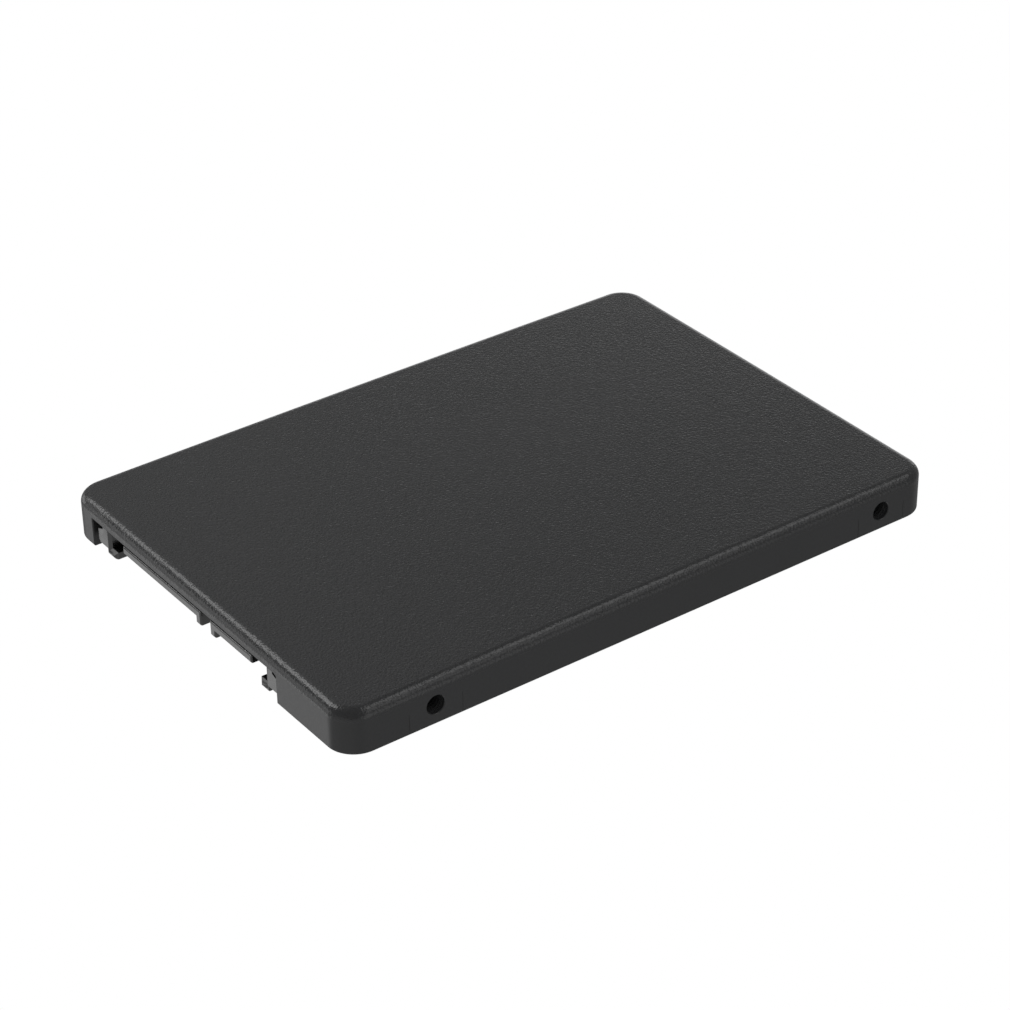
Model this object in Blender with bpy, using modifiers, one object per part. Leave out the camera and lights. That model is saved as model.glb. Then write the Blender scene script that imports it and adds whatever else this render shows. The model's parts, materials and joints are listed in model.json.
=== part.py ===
"""A 2.5-inch, 7 mm solid state drive with a SATA plug, as separate parts in their assembled places.

Frame: X is the drive's width, Y its length with the connector end at -Y, and Z its height.
The origin is the centre of the underside. The top cover faces +Z.
"""

import math

import bmesh
import bpy
from mathutils import Matrix, Vector

MM = 0.001

# Case, to the 2.5-inch drive outline
WIDTH, LENGTH, HEIGHT = 69.85 * MM, 100.0 * MM, 7.0 * MM
CORNER_RADIUS = 4.2 * MM
TOP_FILLET = 1.55 * MM
WALL = 1.5 * MM
CEILING = 5.8 * MM  # inner face of the top cover
FLOOR = 1.2 * MM  # inner face of the bottom cover
INTO_CEILING = (CEILING + HEIGHT) / 2  # where what hangs from the ceiling ends
SEAT_GAP = 0.1 * MM  # clearance between a boss and what is screwed to it
CONTACT_FIT = 0.05 * MM  # clearance of faces that touch
COVER_GAP = 0.15 * MM  # seam round the bottom cover
CORNER_STEPS, TOP_FILLET_STEPS = 6, 4

# Connector opening in the end wall
CONNECTOR_CENTRE = -4.8 * MM  # the plug sits off the drive's centreline
OPENING_X = (-28.85 * MM, 18.7 * MM)
OPENING_HEIGHT = 4.5 * MM
OPENING_CORNER = (0.5 * MM, 0.25 * MM)  # width and drop of the bevel in its upper right corner
FLOOR_CUTOUT_DEPTH = 6.3 * MM  # how far the bottom cover is cut back under the plug

# M3 mounting holes, the same pattern on both sides and the underside
MOUNT_Y = (-LENGTH / 2 + 14.0 * MM, -LENGTH / 2 + 90.6 * MM)
SIDE_HOLE_HEIGHT = 3.0 * MM
SIDE_HOLE_RADIUS = 1.45 * MM
SIDE_HOLE_DEPTH = 5.0 * MM
BOTTOM_HOLE_X = 61.72 / 2 * MM
BOTTOM_HOLE_TOP = 4.6 * MM
MOUNT_BLOCK_INSET = 8.4 * MM  # from the outer side face to the block's inner face
MOUNT_BLOCK_HALF_LENGTH = 4.3 * MM

# Small countersunk screws that hold the covers together
CASE_SCREW_X, CASE_SCREW_Y = 31.0 * MM, (-44.8 * MM, 46.0 * MM)
CASE_BOSS_RADIUS = 2.2 * MM
SCREW_SHANK_RADIUS = 0.8 * MM
SCREW_PILOT_RADIUS = 0.9 * MM
CASE_HEAD_RADIUS = 1.75 * MM
CASE_HEAD_HEIGHT, HEAD_INSET = 0.75 * MM, 0.1 * MM
SCREW_TIP_HEIGHT, SCREW_POINT = 4.4 * MM, 0.4 * MM
PILOT_TOP = 5.0 * MM
HEAD_RIM = 0.12 * MM  # the straight rim of a countersunk head
CROSS_ARM, CROSS_HALF_BLADE, CROSS_DEPTH = 0.95 * MM, 0.17 * MM, 0.5 * MM

# Circuit board
BOARD_X, BOARD_Y = (-25.5 * MM, 25.5 * MM), (-41.9 * MM, 18.0 * MM)
BOARD_BOTTOM, BOARD_TOP, BOARD_CORNER = 2.6 * MM, 3.6 * MM, 1.0 * MM
BOARD_SCREWS = ((-22.4 * MM, 14.9 * MM), (22.4 * MM, 14.9 * MM), (22.4 * MM, -38.4 * MM))
BOARD_BOSS_RADIUS = 2.2 * MM
BOARD_HEAD_RADIUS = 1.7 * MM
BOARD_HEAD_HEIGHT = 1.0 * MM
BOARD_HEAD_EDGE = 0.3 * MM
SOLDER_GAP = 0.1 * MM

# SATA plug: 15-way power tongue, 7-way signal tongue, one L-shaped key on each
PITCH = 1.27 * MM
PLUG_HALF_SPAN = 33.39 / 2 * MM
POWER_WIDTH, SIGNAL_WIDTH = 20.57 * MM, 10.41 * MM
POWER_COUNT, SIGNAL_COUNT = 15, 7
TONGUE_BOTTOM, TONGUE_TOP = 2.27 * MM, 3.50 * MM
TONGUE_FRONT, TONGUE_LENGTH = -49.45 * MM, 5.05 * MM
TONGUE_CHAMFER = 0.2 * MM
KEY_WIDTH, KEY_BOTTOM = 1.25 * MM, 1.25 * MM
BASE_FRONT = TONGUE_FRONT + TONGUE_LENGTH
BASE_BACK = -42.2 * MM
INTO_BASE = 0.5 * MM  # how far the tongues, keys and arms run back into the base
BASE_BOTTOM, BASE_TOP, BASE_HALF_WIDTH = 1.35 * MM, 4.7 * MM, 23.4 * MM
ARM_FRONT = -49.55 * MM
ARM_OUTER, ARM_INNER = 23.3 * MM, 20.1 * MM  # from the plug's centre
WEB_BOTTOM, ARM_TOP = 1.05 * MM, 4.05 * MM
SHOULDER_WIDTH, SHOULDER_STEP, SHOULDER_DROP = 1.3 * MM, 0.32 * MM, 0.8 * MM  # the web's outer top
ARM_HEEL = 0.4 * MM  # bevel at the web's outer bottom
FOOT_OUTER, FOOT_INNER = 20.9 * MM, 18.6 * MM
FOOT_BOTTOM, FOOT_TOP = 0.2 * MM, 1.3 * MM
FOOT_BACK = -47.1 * MM
FOOT_HEEL = 0.15 * MM  # bevel at the foot's front bottom
LEAD_WIDTH, LEAD_DEPTH = 0.6 * MM, 0.38 * MM  # bevels that lead a cable's plug in between the arms

# Contacts, one gold-plated strip each
CONTACT_WIDTH, CONTACT_THICKNESS = 0.84 * MM, 0.2 * MM
CONTACT_BOTTOM = 2.2 * MM
CONTACT_TIP, CONTACT_END = -48.9 * MM, -40.2 * MM
TAIL_BOTTOM = BOARD_BOTTOM - SOLDER_GAP - CONTACT_THICKNESS
JOG = (-41.6 * MM, -41.2 * MM)  # where a strip steps up to the board's underside

# Brackets that tie the plug to the board
LOCK_X = (CONNECTOR_CENTRE - 18.7 * MM, CONNECTOR_CENTRE + 18.7 * MM)
LOCK_HALF_WIDTH, LOCK_THICKNESS, LOCK_FOOT = 1.3 * MM, 0.25 * MM, 2.6 * MM
LOCK_TOP = BASE_TOP - 0.3 * MM

# Label on the underside, in a shallow recess
LABEL_X, LABEL_Y = (-25.0 * MM, 25.0 * MM), (-26.0 * MM, 32.0 * MM)
LABEL_RADIUS = 1.5 * MM
LABEL_RECESS, LABEL_THICKNESS = 0.25 * MM, 0.15 * MM

POWER_X = (CONNECTOR_CENTRE - PLUG_HALF_SPAN, CONNECTOR_CENTRE - PLUG_HALF_SPAN + POWER_WIDTH)
SIGNAL_X = (CONNECTOR_CENTRE + PLUG_HALF_SPAN - SIGNAL_WIDTH, CONNECTOR_CENTRE + PLUG_HALF_SPAN)
PAST = 1.0 * MM  # how far a cutter runs past the surface it cuts


# ---------------------------------------------------------------- scene and materials


def clear_scene():
    for obj in list(bpy.data.objects):
        bpy.data.objects.remove(obj, do_unlink=True)


def collection(name):
    made = bpy.data.collections.new(name)
    bpy.context.scene.collection.children.link(made)
    return made


def material(name, colour, roughness, metallic=0.0):
    made = bpy.data.materials.new(name)
    made.use_nodes = True
    shader = made.node_tree.nodes["Principled BSDF"]
    shader.inputs["Base Color"].default_value = (*colour, 1.0)
    shader.inputs["Roughness"].default_value = roughness
    shader.inputs["Metallic"].default_value = metallic
    made.diffuse_color = (*colour, 1.0)
    return made


clear_scene()
PARTS = collection("solid_state_drive")
CUTTERS = collection("cutters")

CASE_PLASTIC = material("case_plastic", (0.045, 0.046, 0.049), 0.55)
PLUG_PLASTIC = material("plug_plastic", (0.020, 0.020, 0.021), 0.40)
GOLD = material("contact_gold", (0.83, 0.62, 0.26), 0.25, 1.0)
TINNED = material("tinned_steel", (0.62, 0.62, 0.60), 0.35, 1.0)
BOARD_GREEN = material("board_green", (0.010, 0.090, 0.045), 0.45)
CHIP_BLACK = material("chip_black", (0.022, 0.022, 0.024), 0.60)
CAPACITOR_TAN = material("capacitor_tan", (0.36, 0.24, 0.13), 0.45)
PAD_GREY = material("thermal_pad", (0.30, 0.36, 0.42), 0.85)
SCREW_STEEL = material("screw_steel", (0.055, 0.055, 0.058), 0.38, 1.0)
LABEL_VINYL = material("label_vinyl", (0.62, 0.63, 0.64), 0.50)


# ---------------------------------------------------------------- building blocks


def place(obj, name, parts_material=None):
    """Names a solid and files it as a part, or as a cutter if it has no material."""
    obj.name = name
    for owner in list(obj.users_collection):
        owner.objects.unlink(obj)
    if parts_material is None:
        CUTTERS.objects.link(obj)
        obj.hide_render = True
        obj.display_type = "WIRE"
        return obj
    PARTS.objects.link(obj)
    obj.data.materials.clear()
    obj.data.materials.append(parts_material)
    return obj


def box(name, low, high, parts_material=None):
    """A block between two corners, with its origin at its centre."""
    bpy.ops.mesh.primitive_cube_add(size=1)
    obj = bpy.context.object
    size = Vector(high) - Vector(low)
    obj.data.transform(Matrix.Diagonal((*size, 1)))
    obj.location = (Vector(low) + Vector(high)) / 2
    return place(obj, name, parts_material)


def cylinder(name, centre, radius, height, parts_material=None, along="Z", sides=24):
    bpy.ops.mesh.primitive_cylinder_add(vertices=sides, radius=radius, depth=height)
    obj = bpy.context.object
    if along == "X":
        obj.data.transform(Matrix.Rotation(math.pi / 2, 4, "Y"))
    obj.location = centre
    return place(obj, name, parts_material)


def rounded_outline(x_range, y_range, radius, steps=CORNER_STEPS):
    """Points of a rectangle with round corners, anticlockwise from the corner at high x, high y."""
    corners = ((1, 1, 0), (0, 1, 1), (0, 0, 2), (1, 0, 3))
    points = []
    for high_x, high_y, quarter in corners:
        x = x_range[high_x] + (radius if not high_x else -radius)
        y = y_range[high_y] + (radius if not high_y else -radius)
        for step in range(steps + 1):
            angle = (quarter + step / steps) * math.pi / 2
            points.append((x + radius * math.cos(angle), y + radius * math.sin(angle)))
    return points


# Where an outline's own axes point: its two coordinates, then the way it is extruded.
OUTLINE_AXES = {
    "Z": Matrix.Identity(4),
    "X": Matrix(((0, 0, 1, 0), (1, 0, 0, 0), (0, 1, 0, 0), (0, 0, 0, 1))),
    "Y": Matrix(((1, 0, 0, 0), (0, 0, -1, 0), (0, 1, 0, 0), (0, 0, 0, 1))),
}


def prism(name, points, low, high, parts_material=None, along="Z"):
    """A flat outline extruded from low to high along an axis, as one closed mesh."""
    curve = bpy.data.curves.new(name, "CURVE")
    curve.dimensions = "2D"
    curve.fill_mode = "BOTH"
    curve.extrude = (high - low) / 2
    spline = curve.splines.new("POLY")
    spline.points.add(len(points) - 1)
    for point, (u, v) in zip(spline.points, points):
        point.co = (u, v, 0, 1)
    spline.use_cyclic_u = True
    flat = bpy.data.objects.new(name + "_outline", curve)
    bpy.context.scene.collection.objects.link(flat)
    middle = {"Z": (0, 0, 1), "X": (1, 0, 0), "Y": (0, 1, 0)}[along]
    flat.matrix_world = Matrix.Translation(Vector(middle) * (low + high) / 2) @ OUTLINE_AXES[along]
    bpy.context.view_layer.update()
    graph = bpy.context.evaluated_depsgraph_get()
    mesh = bpy.data.meshes.new_from_object(flat.evaluated_get(graph))
    work = bmesh.new()
    work.from_mesh(mesh)
    bmesh.ops.remove_doubles(work, verts=work.verts, dist=0.001 * MM)
    bmesh.ops.recalc_face_normals(work, faces=work.faces)
    work.to_mesh(mesh)
    work.free()
    obj = bpy.data.objects.new(name, mesh)
    bpy.context.scene.collection.objects.link(obj)
    obj.matrix_world = flat.matrix_world
    bpy.data.objects.remove(flat, do_unlink=True)
    return place(obj, name, parts_material)


def hull(name, points):
    """A cutter: the convex solid round some points."""
    work = bmesh.new()
    for point in points:
        work.verts.new(point)
    bmesh.ops.convex_hull(work, input=work.verts)
    bmesh.ops.recalc_face_normals(work, faces=work.faces)
    mesh = bpy.data.meshes.new(name)
    work.to_mesh(mesh)
    work.free()
    return place(bpy.data.objects.new(name, mesh), name)


def turned(name, profile, centre, parts_material, steps=24):
    """A profile of (radius, height) points, from top to bottom, turned round the vertical axis."""
    mesh = bpy.data.meshes.new(name)
    points = [(radius, 0, height) for radius, height in profile]
    mesh.from_pydata(points, [(i, i + 1) for i in range(len(points) - 1)], [])
    obj = bpy.data.objects.new(name, mesh)
    bpy.context.scene.collection.objects.link(obj)
    obj.location = (*centre, 0)
    turn = obj.modifiers.new("turn", "SCREW")
    turn.steps = turn.render_steps = steps
    turn.use_merge_vertices = True
    turn.merge_threshold = 0.001 * MM
    turn.use_smooth_shade = True
    return place(obj, name, parts_material)


def combine(target, tool, operation):
    step = target.modifiers.new(tool.name, "BOOLEAN")
    step.operation = operation
    step.solver = "EXACT"
    step.object = tool


def cut(target, *tools):
    for tool in tools:
        combine(target, tool, "DIFFERENCE")


def join(target, *tools):
    for tool in tools:
        combine(target, tool, "UNION")


def round_top_edge(obj, radius, segments):
    """Rounds, or with one segment bevels, the edge loop round the highest face of a mesh."""
    work = bmesh.new()
    work.from_mesh(obj.data)
    top = max(vert.co.z for vert in work.verts)
    rim = [
        edge
        for edge in work.edges
        if all(vert.co.z > top - 0.01 * MM for vert in edge.verts)
        and any(abs(face.normal.z) < 0.5 for face in edge.link_faces)
    ]
    bmesh.ops.bevel(work, geom=rim, offset=radius, segments=segments, profile=0.5, affect="EDGES")
    work.to_mesh(obj.data)
    work.free()


def smooth(obj, angle=35):
    obj.data.shade_smooth()
    obj.data.set_sharp_from_angle(angle=math.radians(angle))


def around(middle, half):
    """The range that reaches half to each side of a middle."""
    return (middle - half, middle + half)


def inset(outer_range, distance):
    return (outer_range[0] + distance, outer_range[1] - distance)


OUTER_X, OUTER_Y = around(0, WIDTH / 2), around(0, LENGTH / 2)
MOUNT_POINTS = [(side * BOTTOM_HOLE_X, y) for side in (-1, 1) for y in MOUNT_Y]
CASE_SCREWS = [(side * CASE_SCREW_X, y) for side in (-1, 1) for y in CASE_SCREW_Y]


# ---------------------------------------------------------------- case


def mount_block(side, y):
    """The solid block in the top cover that takes one side screw and one bottom screw."""
    outer = side * (WIDTH / 2 - WALL / 2)
    inner = side * (WIDTH / 2 - MOUNT_BLOCK_INSET)
    low, high = sorted((outer, inner))
    return box(
        "mount_block",
        (low, y - MOUNT_BLOCK_HALF_LENGTH, FLOOR + SEAT_GAP),
        (high, y + MOUNT_BLOCK_HALF_LENGTH, INTO_CEILING),
    )


def top_cover():
    """The moulded tray: top face, four walls, mounting blocks and screw bosses."""
    outer = rounded_outline(OUTER_X, OUTER_Y, CORNER_RADIUS)
    cover = prism("top_cover", outer, 0, HEIGHT, CASE_PLASTIC)
    round_top_edge(cover, TOP_FILLET, TOP_FILLET_STEPS)
    inner = rounded_outline(inset(OUTER_X, WALL), inset(OUTER_Y, WALL), CORNER_RADIUS - WALL)
    cut(cover, prism("cover_cavity", inner, -PAST, CEILING))
    for side in (-1, 1):
        join(cover, *(mount_block(side, y) for y in MOUNT_Y))
    for point in CASE_SCREWS:
        join(cover, boss("case_boss", point, FLOOR + SEAT_GAP, CASE_BOSS_RADIUS))
    for point in BOARD_SCREWS:
        join(cover, boss("board_boss", point, BOARD_TOP + SEAT_GAP, BOARD_BOSS_RADIUS))
    cut(cover, connector_opening())
    for side in (-1, 1):
        for y in MOUNT_Y:
            depth = SIDE_HOLE_DEPTH + PAST
            x = side * (WIDTH / 2 + PAST - depth / 2)
            centre = (x, y, SIDE_HOLE_HEIGHT)
            cut(cover, cylinder("side_hole", centre, SIDE_HOLE_RADIUS, depth, along="X", sides=28))
    for x, y in MOUNT_POINTS:
        centre = (x, y, BOTTOM_HOLE_TOP / 2)
        cut(cover, cylinder("bottom_hole", centre, SIDE_HOLE_RADIUS, BOTTOM_HOLE_TOP, sides=28))
    for x, y in (*CASE_SCREWS, *BOARD_SCREWS):
        centre = (x, y, PILOT_TOP / 2)
        cut(cover, cylinder("pilot_hole", centre, SCREW_PILOT_RADIUS, PILOT_TOP, sides=16))
    smooth(cover)
    return cover


def boss(name, point, low, radius):
    """A round post that hangs from the ceiling of the top cover."""
    x, y = point
    return cylinder(name, (x, y, (low + INTO_CEILING) / 2), radius, INTO_CEILING - low)


def connector_opening():
    left, right = OPENING_X
    bevel, drop = OPENING_CORNER
    corners = (
        (left, -PAST),
        (left, OPENING_HEIGHT),
        (right - bevel, OPENING_HEIGHT),
        (right, OPENING_HEIGHT - drop),
        (right, -PAST),
    )
    front, back = OUTER_Y[0] - PAST, OUTER_Y[0] + WALL + PAST
    return prism("connector_opening", corners, front, back, along="Y")


def bottom_cover():
    """The flat plate that closes the tray, with its screw holes and label recess."""
    margin = WALL + COVER_GAP
    outline = rounded_outline(
        inset(OUTER_X, margin), inset(OUTER_Y, margin), CORNER_RADIUS - margin
    )
    cover = prism("bottom_cover", outline, 0, FLOOR, CASE_PLASTIC)
    low = (OPENING_X[0], OUTER_Y[0] - PAST, -PAST)
    high = (OPENING_X[1], OUTER_Y[0] + FLOOR_CUTOUT_DEPTH, FLOOR + PAST)
    cut(cover, box("plug_cutout", low, high))
    recess = rounded_outline(inset(LABEL_X, -COVER_GAP), inset(LABEL_Y, -COVER_GAP), LABEL_RADIUS)
    cut(cover, prism("label_recess", recess, -PAST, LABEL_RECESS))
    for x, y in MOUNT_POINTS:
        radius = SIDE_HOLE_RADIUS + COVER_GAP
        cut(cover, cylinder("mount_clearance", (x, y, 0), radius, 4 * FLOOR, sides=28))
    for x, y in CASE_SCREWS:
        cut(cover, countersink(x, y))
    return cover


def countersink(x, y):
    """A screw's shank hole and the cone its head sits in."""
    head, shank = CASE_HEAD_RADIUS + COVER_GAP, SCREW_SHANK_RADIUS + COVER_GAP
    seat = CASE_HEAD_HEIGHT + COVER_GAP
    profile = ((0, 2 * FLOOR), (shank, 2 * FLOOR), (shank, seat), (head, HEAD_INSET), (head, -PAST))
    return turned("countersink", (*profile, (0, -PAST)), (x, y), None)


def label():
    """The blank rating label in its recess."""
    outline = rounded_outline(LABEL_X, LABEL_Y, LABEL_RADIUS)
    low = LABEL_RECESS - LABEL_THICKNESS - CONTACT_FIT
    return prism("rating_label", outline, low, low + LABEL_THICKNESS, LABEL_VINYL)


# ---------------------------------------------------------------- screws


def cross_recess(name, centre):
    """The cutter for a cross drive, two blades let into a head from below."""
    x, y, face = centre
    arm, blade = CROSS_ARM, CROSS_HALF_BLADE
    low, high = face - PAST, face + CROSS_DEPTH
    recess = box(name, (x - arm, y - blade, low), (x + arm, y + blade, high))
    join(recess, box(name + "_arm", (x - blade, y - arm, low), (x + blade, y + arm, high)))
    return recess


def case_screw(number, x, y):
    """A countersunk screw, its head flush with the underside."""
    head_face = HEAD_INSET
    profile = (
        (0, SCREW_TIP_HEIGHT),
        (SCREW_SHANK_RADIUS - SCREW_POINT, SCREW_TIP_HEIGHT),
        (SCREW_SHANK_RADIUS, SCREW_TIP_HEIGHT - SCREW_POINT),
        (SCREW_SHANK_RADIUS, CASE_HEAD_HEIGHT),
        (CASE_HEAD_RADIUS, head_face + HEAD_RIM),
        (CASE_HEAD_RADIUS, head_face),
        (0, head_face),
    )
    screw = turned(f"case_screw_{number}", profile, (x, y), SCREW_STEEL)
    cut(screw, cross_recess(f"case_recess_{number}", (x, y, head_face)))
    return screw


def board_screw(number, x, y):
    """A pan-head screw that holds the board up against its boss in the top cover."""
    seat = BOARD_BOTTOM - CONTACT_FIT
    head_face = seat - BOARD_HEAD_HEIGHT
    profile = (
        (0, SCREW_TIP_HEIGHT),
        (SCREW_SHANK_RADIUS - SCREW_POINT, SCREW_TIP_HEIGHT),
        (SCREW_SHANK_RADIUS, SCREW_TIP_HEIGHT - SCREW_POINT),
        (SCREW_SHANK_RADIUS, seat),
        (BOARD_HEAD_RADIUS, seat),
        (BOARD_HEAD_RADIUS, head_face + BOARD_HEAD_EDGE),
        (BOARD_HEAD_RADIUS - BOARD_HEAD_EDGE, head_face),
        (0, head_face),
    )
    screw = turned(f"board_screw_{number}", profile, (x, y), SCREW_STEEL)
    cut(screw, cross_recess(f"board_recess_{number}", (x, y, head_face)))
    return screw


# ---------------------------------------------------------------- SATA plug


def tongue(name, x_range, key_side):
    """A tongue with the leg of its L below one end, and bevels all round its front face."""
    near, far = x_range if key_side < 0 else reversed(x_range)
    inside = near - key_side * KEY_WIDTH
    corners = (
        (near, KEY_BOTTOM),
        (near, TONGUE_TOP),
        (far, TONGUE_TOP),
        (far, TONGUE_BOTTOM),
        (inside, TONGUE_BOTTOM),
        (inside, KEY_BOTTOM),
    )
    made = prism(name, corners, TONGUE_FRONT, BASE_FRONT + INTO_BASE, along="Y")
    round_top_edge(made, TONGUE_CHAMFER, 1)
    return made


def lead_in(name, side):
    """Cutters for an arm's front bevels: round its inner corner, and at the end of its foot."""
    reach = ARM_INNER - FOOT_INNER
    flare, wedge = [], []
    for step in (-1, 2):  # the bevels run from step 0, inside, to step 1 at the arm's front
        y = ARM_FRONT + (1 - step) * LEAD_DEPTH
        widen = step * LEAD_WIDTH
        for distance in (FOOT_INNER - reach, ARM_INNER + widen):
            x = CONNECTOR_CENTRE + side * distance
            flare += [(x, y, FOOT_TOP - widen), (x, y, ARM_TOP + reach)]
        for distance in (FOOT_INNER - reach, FOOT_INNER + widen):
            x = CONNECTOR_CENTRE + side * distance
            wedge += [(x, y, FOOT_BOTTOM - reach), (x, y, FOOT_TOP + reach)]
    return hull(name + "_flare", flare), hull(name + "_wedge", wedge)


def guide_arm(name, side):
    """A guide arm: an upright web with a cut-down shoulder, and a foot that points at the tongues."""
    outer = CONNECTOR_CENTRE + side * ARM_OUTER
    inner = CONNECTOR_CENTRE + side * ARM_INNER
    shoulder = outer - side * SHOULDER_WIDTH
    corners = (
        (inner, WEB_BOTTOM),
        (inner, ARM_TOP),
        (shoulder, ARM_TOP),
        (shoulder, ARM_TOP - SHOULDER_STEP),
        (outer, ARM_TOP - SHOULDER_DROP),
        (outer, WEB_BOTTOM + ARM_HEEL),
        (outer - side * ARM_HEEL, WEB_BOTTOM),
    )
    arm = prism(name, corners, ARM_FRONT, BASE_FRONT + INTO_BASE, along="Y")
    foot_outline = (
        (FOOT_BACK, FOOT_BOTTOM),
        (FOOT_BACK, FOOT_TOP),
        (ARM_FRONT, FOOT_TOP),
        (ARM_FRONT, FOOT_BOTTOM + FOOT_HEEL),
        (ARM_FRONT + FOOT_HEEL, FOOT_BOTTOM),
    )
    ends = sorted(CONNECTOR_CENTRE + side * distance for distance in (FOOT_INNER, FOOT_OUTER))
    join(arm, prism(name + "_foot", foot_outline, *ends, along="X"))
    cut(arm, *lead_in(name, side))
    return arm


def contact_places():
    """Each contact's name and centre, counted from the key end of its tongue."""
    margin = (POWER_WIDTH - KEY_WIDTH - (POWER_COUNT - 1) * PITCH) / 2
    signal_start = SIGNAL_X[0] + KEY_WIDTH + margin
    power_start = POWER_X[1] - KEY_WIDTH - margin
    signal = [(f"signal_contact_{i + 1}", signal_start + i * PITCH) for i in range(SIGNAL_COUNT)]
    power = [(f"power_contact_{i + 1}", power_start - i * PITCH) for i in range(POWER_COUNT)]
    return signal + power


def contact_outline(gap=0.0):
    """Side view of a contact: along the tongue's underside, through the base, up to the board."""
    low, high = CONTACT_BOTTOM - gap, CONTACT_BOTTOM + CONTACT_THICKNESS + gap
    tail_low, tail_high = TAIL_BOTTOM - gap, TAIL_BOTTOM + CONTACT_THICKNESS + gap
    return (
        (CONTACT_TIP - gap, low),
        (JOG[0], low),
        (JOG[1], tail_low),
        (CONTACT_END, tail_low),
        (CONTACT_END, tail_high),
        (JOG[1], tail_high),
        (JOG[0], high),
        (CONTACT_TIP - gap, high),
    )


def contacts():
    for name, x in contact_places():
        prism(name, contact_outline(), *around(x, CONTACT_WIDTH / 2), GOLD, along="X")


def connector_housing():
    """The moulded plug: base, two keyed tongues and two guide arms, with a channel per contact."""
    low = (CONNECTOR_CENTRE - BASE_HALF_WIDTH, BASE_FRONT, BASE_BOTTOM)
    high = (CONNECTOR_CENTRE + BASE_HALF_WIDTH, BASE_BACK, BASE_TOP)
    housing = box("connector_housing", low, high, PLUG_PLASTIC)
    join(housing, tongue("power_tongue", POWER_X, 1), tongue("signal_tongue", SIGNAL_X, -1))
    for name, side in (("left_arm", -1), ("right_arm", 1)):
        join(housing, guide_arm(name, side))
    half = CONTACT_WIDTH / 2 + CONTACT_FIT
    for name, x in contact_places():
        channel = contact_outline(CONTACT_FIT)
        cut(housing, prism("channel_" + name, channel, *around(x, half), along="X"))
    return housing


def board_lock(name, x):
    """A tinned bracket that ties the plug's base to the board: a foot on the board and a tab."""
    low = BOARD_TOP + CONTACT_FIT
    front, back = BASE_BACK + CONTACT_FIT, BOARD_Y[0] + LOCK_FOOT
    outline = (
        (front, low),
        (back, low),
        (back, low + LOCK_THICKNESS),
        (front + LOCK_THICKNESS, low + LOCK_THICKNESS),
        (front + LOCK_THICKNESS, LOCK_TOP),
        (front, LOCK_TOP),
    )
    return prism(name, outline, *around(x, LOCK_HALF_WIDTH), TINNED, along="X")


# ---------------------------------------------------------------- board and components


def circuit_board():
    outline = rounded_outline(BOARD_X, BOARD_Y, BOARD_CORNER, steps=3)
    board = prism("circuit_board", outline, BOARD_BOTTOM, BOARD_TOP, BOARD_GREEN)
    radius = SCREW_SHANK_RADIUS + COVER_GAP
    height = BOARD_TOP - BOARD_BOTTOM + 2 * PAST
    for x, y in BOARD_SCREWS:
        centre = (x, y, (BOARD_BOTTOM + BOARD_TOP) / 2)
        cut(board, cylinder("board_screw_hole", centre, radius, height, sides=20))
    return board


def component(name, centre, size, parts_material, below=False):
    """A block soldered to the board's top face, or to its underside if below."""
    x, y = centre
    width, length, height = size
    low = BOARD_BOTTOM - SOLDER_GAP - height if below else BOARD_TOP + SOLDER_GAP
    made = box(
        name,
        (x - width / 2, y - length / 2, low),
        (x + width / 2, y + length / 2, low + height),
        parts_material,
    )
    edge = made.modifiers.new("edge", "BEVEL")
    edge.width = PACKAGE_EDGE
    edge.segments = 1
    return made


def thermal_pad(name, chip):
    """A soft pad that fills the height between a chip and the top cover."""
    (x, y), (width, length, height) = chip
    half_width, half_length = width / 2 - PAD_MARGIN, length / 2 - PAD_MARGIN
    return box(
        name,
        (x - half_width, y - half_length, BOARD_TOP + SOLDER_GAP + height + CONTACT_FIT),
        (x + half_width, y + half_length, CEILING - CONTACT_FIT),
        PAD_GREY,
    )


PACKAGE_EDGE = 0.08 * MM  # chamfer on a component's edges
PAD_MARGIN = 0.5 * MM  # how far a pad stays inside its chip's outline
CONTROLLER = ((-5.0 * MM, -27.5 * MM), (14.0 * MM, 14.0 * MM, 1.1 * MM))
DRAM = ((11.5 * MM, -27.5 * MM), (8.0 * MM, 13.0 * MM, 1.0 * MM))
FLASH_SIZE = (14.0 * MM, 18.0 * MM, 1.0 * MM)
FLASH_PLACES = ((-11.0 * MM, -4.0 * MM), (11.0 * MM, -4.0 * MM))
REGULATOR = ((-20.0 * MM, -31.0 * MM), (5.0 * MM, 5.0 * MM, 0.85 * MM))
INDUCTOR_SIZE = (4.0 * MM, 4.0 * MM, 1.6 * MM)
INDUCTOR_PLACES = ((-20.5 * MM, -24.5 * MM), (-20.5 * MM, -18.5 * MM))
CRYSTAL = ((19.5 * MM, -22.0 * MM), (2.5 * MM, 3.2 * MM, 0.8 * MM))
CAPACITOR_SIZE = (2.5 * MM, 3.2 * MM, 1.5 * MM)
CAPACITOR_COUNT, CAPACITOR_SPACING, CAPACITOR_Y = 8, 4.4 * MM, 11.5 * MM


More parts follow.
